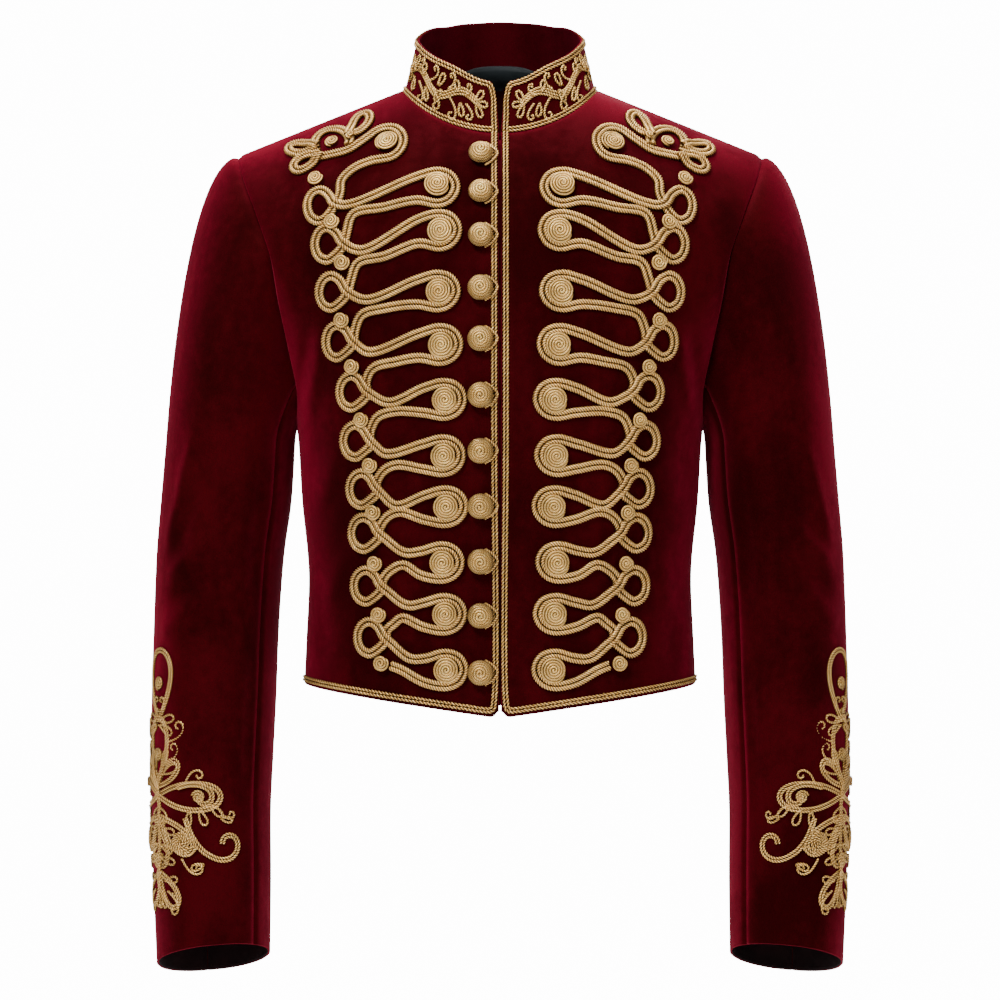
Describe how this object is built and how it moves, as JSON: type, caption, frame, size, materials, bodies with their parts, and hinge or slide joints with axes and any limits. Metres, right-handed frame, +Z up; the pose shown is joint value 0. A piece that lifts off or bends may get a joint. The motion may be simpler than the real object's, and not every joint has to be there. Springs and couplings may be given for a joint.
{
  "type": "hussar jacket",
  "caption": "Short velvet jacket with a stand collar, long sleeves, looped gold cord frogging on both fronts, domed buttons, cord edging and corded cuff knots.",
  "frame": {"origin": "the middle of the neck, level with the inner ends of the shoulder seams, where the wearer holds the jacket up", "axes": "+Z up, -Y is the front, +X is the wearer's left"},
  "size_m": [0.5778, 0.2397, 0.7893],
  "materials": {
    "velvet": "cotton velvet",
    "gold_cord": "twisted metallic thread",
    "lining": "satin weave"
  },
  "bodies": {
    "root": {"front_right": "velvet", "front_left": "velvet", "back": "velvet", "sleeve_upper_right": "velvet", "sleeve_upper_left": "velvet", "sleeve_under_right": "velvet", "sleeve_under_left": "velvet", "collar": "velvet", "underlap": "velvet", "back_neck_lining": "lining", "frogging_right": "gold_cord", "edge_cord_right": "gold_cord", "collar_sprig_right": "gold_cord", "cuff_knot_right": "gold_cord", "frogging_left": "gold_cord", "edge_cord_left": "gold_cord", "collar_sprig_left": "gold_cord", "cuff_knot_left": "gold_cord", "hem_cord_back": "gold_cord", "collar_cord": "gold_cord", "button_01": "gold_cord", "button_02": "gold_cord", "button_03": "gold_cord", "button_04": "gold_cord", "button_05": "gold_cord", "button_06": "gold_cord", "button_07": "gold_cord", "button_08": "gold_cord", "button_09": "gold_cord", "button_10": "gold_cord", "button_11": "gold_cord"}
  },
  "joints": []
}
